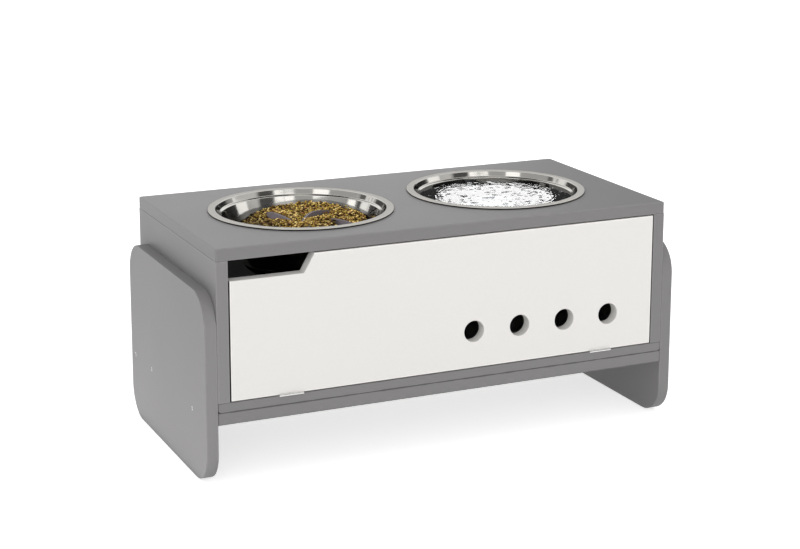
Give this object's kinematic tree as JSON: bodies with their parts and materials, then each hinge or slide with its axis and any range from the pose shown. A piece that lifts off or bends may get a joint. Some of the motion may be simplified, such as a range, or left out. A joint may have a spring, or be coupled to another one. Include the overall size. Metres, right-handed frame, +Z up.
{
  "type": "elevated dog feeder with storage",
  "caption": "Raised dog feeder: a storage box on plate legs, steel lift-out bowls in its top, a slow feeding insert, and a drop-down front door with a hand notch and vent holes.",
  "frame": {"origin": "on the floor, at the middle of the whole feeder's bounding box (1.65 mm in front of the cabinet's own middle, because the hinge barrels stand proud)", "axes": "+X to the feeder's right seen from the front, +Y from the door to the back, +Z up"},
  "size_m": [0.63, 0.3032, 0.2882],
  "materials": {
    "grey_paint": "satin grey paint on fibreboard",
    "white_paint": "satin off-white paint on fibreboard",
    "back_panel": "grey faced hardboard",
    "bowl_steel": "polished stainless steel, satin rim",
    "insert_plastic": "matte grey plastic",
    "hinge_steel": "nickel plated steel",
    "screw_steel": "zinc plated steel",
    "zinc": "die cast zinc",
    "catch_plastic": "white moulded plastic",
    "magnet": "dark ferrite",
    "beech": "plain beech"
  },
  "bodies": {
    "cabinet": {"top_board": "grey_paint", "left_side_panel": "grey_paint", "right_side_panel": "grey_paint", "floor_board": "grey_paint", "base_board": "grey_paint", "left_leg": "grey_paint", "right_leg": "grey_paint", "back_panel": "back_panel", "left_hinge_floor_leaf": "hinge_steel", "left_hinge_pin": "hinge_steel", "right_hinge_floor_leaf": "hinge_steel", "right_hinge_pin": "hinge_steel", "hinge_floor_screws": "screw_steel", "left_leg_screws": "screw_steel", "right_leg_screws": "screw_steel", "cabinet_screws": "screw_steel", "catch_housing": "catch_plastic", "catch_magnet": "magnet", "catch_pole_plates": "hinge_steel", "catch_screws": "screw_steel", "cam_locks": "zinc", "cam_bolts": "screw_steel", "top_dowels": "beech", "floor_dowels": "beech", "leg_dowels": "beech"},
    "door": {"door": "white_paint", "left_hinge_door_leaf": "hinge_steel", "right_hinge_door_leaf": "hinge_steel", "hinge_door_screws": "screw_steel", "strike_plate": "hinge_steel", "strike_screw": "screw_steel"},
    "food_bowl": {"food_bowl": "bowl_steel"},
    "water_bowl": {"water_bowl": "bowl_steel"},
    "slow_feeder_insert": {"slow_feeder_insert": "insert_plastic"}
  },
  "joints": [
    {"name": "door_hinge", "type": "hinge", "parent": "cabinet", "child": "door", "pos_m": [0, -0.15015, 0.1013], "axis": [1, 0, 0], "range_deg": [0, 126]},
    {"name": "food_bowl_lift", "type": "slide", "parent": "cabinet", "child": "food_bowl", "axis": [0, 0, 1], "range_m": [0, 0.1]},
    {"name": "water_bowl_lift", "type": "slide", "parent": "cabinet", "child": "water_bowl", "axis": [0, 0, 1], "range_m": [0, 0.1]},
    {"name": "insert_lift", "type": "slide", "parent": "food_bowl", "child": "slow_feeder_insert", "axis": [0, 0, 1], "range_m": [0, 0.09]}
  ]
}
